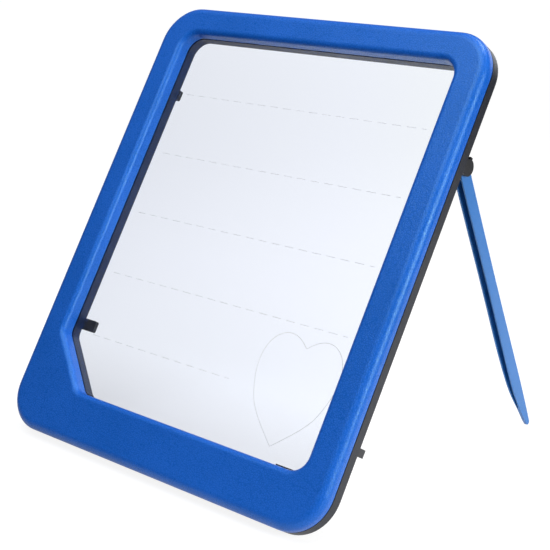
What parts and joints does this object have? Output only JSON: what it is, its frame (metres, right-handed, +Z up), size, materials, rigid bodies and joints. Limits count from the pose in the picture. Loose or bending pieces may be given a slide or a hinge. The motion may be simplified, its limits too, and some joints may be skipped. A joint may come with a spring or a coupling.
{
  "type": "led writing board",
  "caption": "Leaning desk writing board: a clear edge-lit panel in a rounded two-part ring frame, held up by a fold-out leg at its back.",
  "frame": {"origin": "on the ground, midway across the board and midway between its front edge and the leg's foot", "axes": "+X to the board's right as its reader sees it, +Y to the back, +Z up"},
  "size_m": [0.24, 0.2136, 0.2402],
  "materials": {
    "blue_plastic": "fine leather grain",
    "black_plastic": "fine grain",
    "clear_acrylic": "polished, with cut lines",
    "circuit_board": "white solder mask",
    "lamp": "moulded lens",
    "chip_plastic": "moulded",
    "plated_steel": "nickel plated",
    "knob_plastic": "moulded",
    "tray_plastic": "moulded",
    "cell_sleeve": "plain printed sleeve",
    "screw_steel": "black oxide",
    "pin_steel": "turned",
    "wire_cover": "smooth"
  },
  "bodies": {
    "housing": {"front_frame": "blue_plastic", "rear_frame": "black_plastic", "clear_panel": "clear_acrylic", "led_strip_left": "circuit_board", "led_strip_right": "circuit_board", "leds_left": "lamp", "leds_right": "lamp", "controller_board": "circuit_board", "driver_chip": "chip_plastic", "switch_body": "plated_steel", "battery_tray": "tray_plastic", "battery_cells": "cell_sleeve", "battery_contacts": "plated_steel", "housing_screws": "screw_steel", "wire_harness": "wire_cover", "hinge_bracket_right": "black_plastic", "hinge_pin_right": "pin_steel", "leg_catch_right": "black_plastic"},
    "right_leg": {"right_leg": "blue_plastic"},
    "switch_knob": {"switch_knob": "knob_plastic"},
    "battery_door": {"battery_door": "black_plastic", "door_screw": "screw_steel"}
  },
  "joints": [
    {"name": "right_leg_hinge", "type": "hinge", "parent": "housing", "child": "right_leg", "pos_m": [0.11328, 0.02403, 0.17294], "axis": [1, 0, 0], "range_deg": [-57.77, 0]},
    {"name": "power_switch", "type": "slide", "parent": "housing", "child": "switch_knob", "axis": [0, 0.5468, 0.8372], "range_m": [0, 0.003]},
    {"name": "battery_door_lift", "type": "slide", "parent": "housing", "child": "battery_door", "axis": [0, 0.8372, -0.5468], "range_m": [0, 0.004]}
  ]
}
